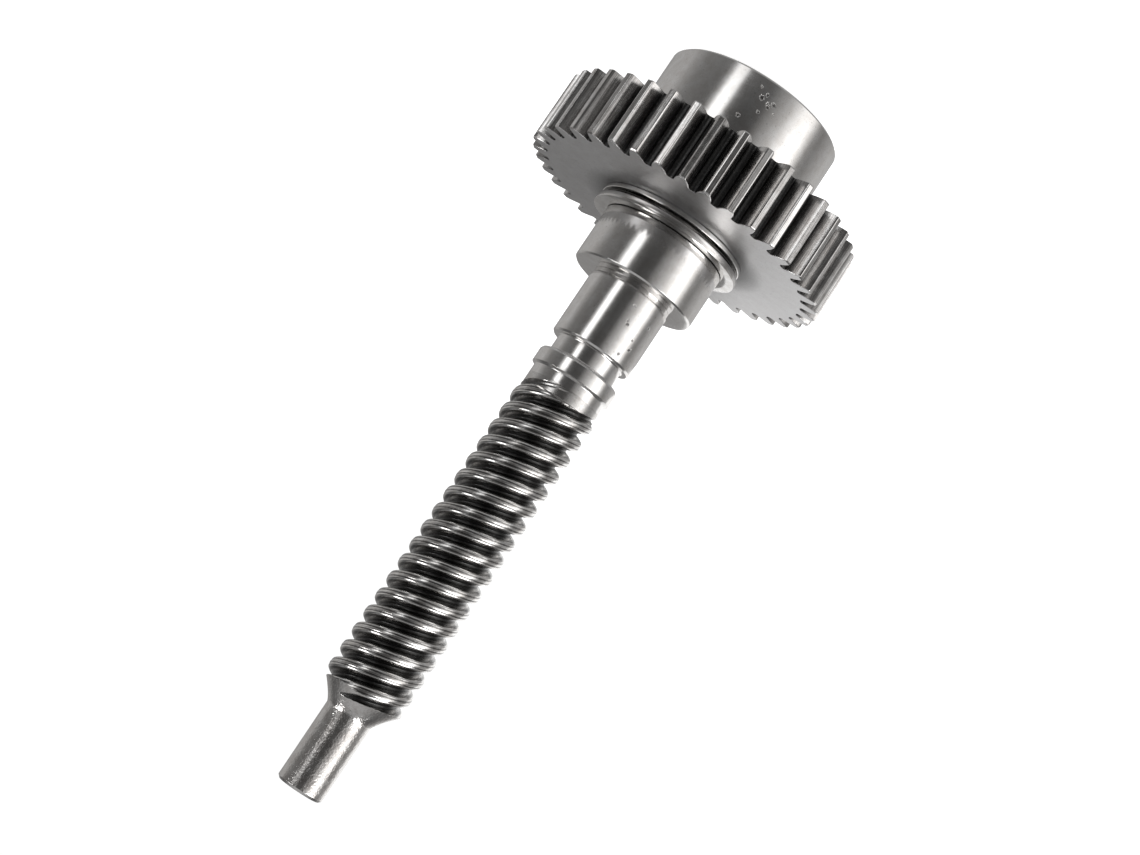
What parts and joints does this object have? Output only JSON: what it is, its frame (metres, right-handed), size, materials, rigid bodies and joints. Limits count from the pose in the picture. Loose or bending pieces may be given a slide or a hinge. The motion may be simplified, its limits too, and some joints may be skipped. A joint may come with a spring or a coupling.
{
  "type": "worm gear set",
  "caption": "Turned steel worm shaft with a right-hand three-start worm, journals and a spur gear that slips on a spring-loaded friction hub.",
  "frame": {"origin": "centre of the hub's flat rear face, on the shaft axis", "axes": "+Z along the shaft axis, from the gear hub to the tail journal; +X and +Y lie in the hub's rear face; the retaining ring's gap and the drive key face +Y"},
  "size_m": [0.0615, 0.0614, 0.1481],
  "materials": {
    "shaft_steel": "polished and ground steel",
    "hub_steel": "fine-turned steel",
    "gear_steel": "matte hobbed steel",
    "bronze": "sintered bronze",
    "lining": "moulded friction lining",
    "washer_steel": "ground steel",
    "spring_steel": "dark spring steel",
    "ring_steel": "bright spring steel",
    "key_steel": "drawn steel",
    "screw_steel": "blackened steel"
  },
  "bodies": {
    "shaft": {"worm_shaft": "shaft_steel", "gear_hub": "hub_steel", "friction_disc": "lining", "thrust_washer": "washer_steel", "wave_spring": "spring_steel", "retaining_ring": "ring_steel", "drive_key": "key_steel", "end_washer": "washer_steel", "lock_washer": "spring_steel", "end_screw": "screw_steel"},
    "gear": {"spur_gear": "gear_steel", "gear_bush": "bronze"}
  },
  "joints": [
    {"name": "gear_slip", "type": "hinge", "parent": "shaft", "child": "gear", "pos_m": [0, 0, 0.02155], "axis": [0, 0, 1], "continuous": true}
  ]
}
